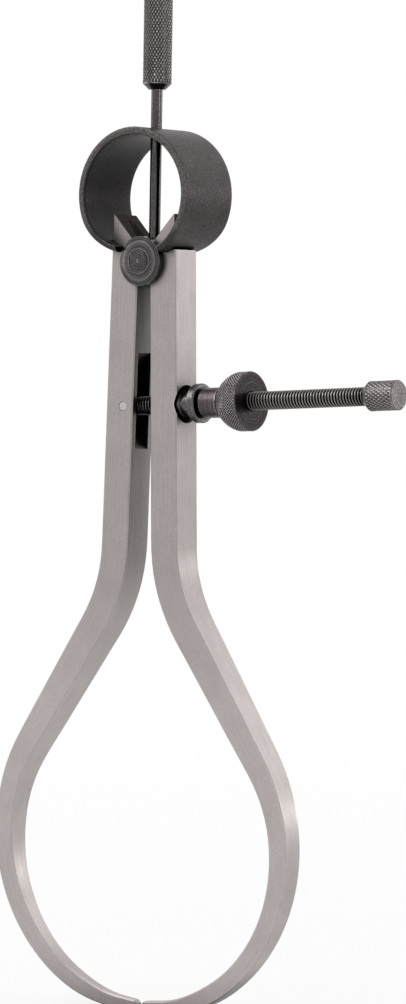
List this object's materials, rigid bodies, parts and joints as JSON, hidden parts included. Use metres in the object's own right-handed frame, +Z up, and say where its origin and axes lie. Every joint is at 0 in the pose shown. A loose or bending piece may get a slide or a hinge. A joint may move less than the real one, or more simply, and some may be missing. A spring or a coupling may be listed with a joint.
{
  "type": "outside spring caliper",
  "caption": "Outside spring caliper: two bowed legs on a fulcrum stud under a round bow spring, set by a knurled nut on a pivoted screw, with a knurled handle.",
  "frame": {"origin": "middle of the measuring gap between the two tips", "axes": "+Z up the handle, +X towards the adjusting nut, +Y to the back, along the fulcrum stud"},
  "size_m": [0.0973, 0.016, 0.2112],
  "materials": {
    "leg_steel": "satin ground steel",
    "stud_steel": "black oxide, turned",
    "spring_steel": "black oxide, fine grained",
    "handle_steel": "black oxide, knurled",
    "screw_steel": "black oxide, threaded",
    "pin_steel": "bright steel",
    "nut_steel": "black oxide, turned and knurled",
    "cap_steel": "worn black oxide, knurled"
  },
  "bodies": {
    "head": {"fulcrum_stud": "stud_steel", "handle": "handle_steel", "bow_spring": "spring_steel"},
    "leg_left": {"left_leg": "leg_steel", "screw_pivot_pin": "pin_steel"},
    "leg_right": {"right_leg": "leg_steel"},
    "screw": {"adjusting_screw": "screw_steel", "screw_end_cap": "cap_steel"},
    "seat": {"ball_washer": "nut_steel"},
    "nut": {"adjusting_nut": "nut_steel"}
  },
  "joints": [
    {"name": "left_leg_swing", "type": "hinge", "parent": "head", "child": "leg_left", "pos_m": [0, 0, 0.15133], "axis": [0, 1, 0], "range_deg": [-0.15, 30.2], "deforming": ["bow_spring"]},
    {"name": "right_leg_swing", "type": "hinge", "parent": "head", "child": "leg_right", "pos_m": [0, 0, 0.15133], "axis": [0, -1, 0], "range_deg": [-0.15, 30.2]},
    {"name": "screw_swivel", "type": "hinge", "parent": "leg_left", "child": "screw", "pos_m": [-0.00462, 0, 0.122], "axis": [0, -1, 0], "range_deg": [-0.15, 30.2]},
    {"name": "seat_tilt", "type": "hinge", "parent": "leg_right", "child": "seat", "pos_m": [0.00776, 0, 0.12267], "axis": [0, 1, 0], "range_deg": [-0.15, 30.2]},
    {"name": "nut_spin", "type": "hinge", "parent": "seat", "child": "nut", "pos_m": [0.00776, 0, 0.12267], "axis": [0.9985, 0, 0.0541], "range_deg": [-71.1, 14163]}
  ],
  "couplings": [
    {"joint": "right_leg_swing", "follows": "left_leg_swing", "ratio": 1},
    {"joint": "screw_swivel", "follows": "left_leg_swing", "ratio": 1},
    {"joint": "seat_tilt", "follows": "left_leg_swing", "ratio": 1},
    {"joint": "nut_spin", "follows": "left_leg_swing", "ratio": 468.96}
  ]
}
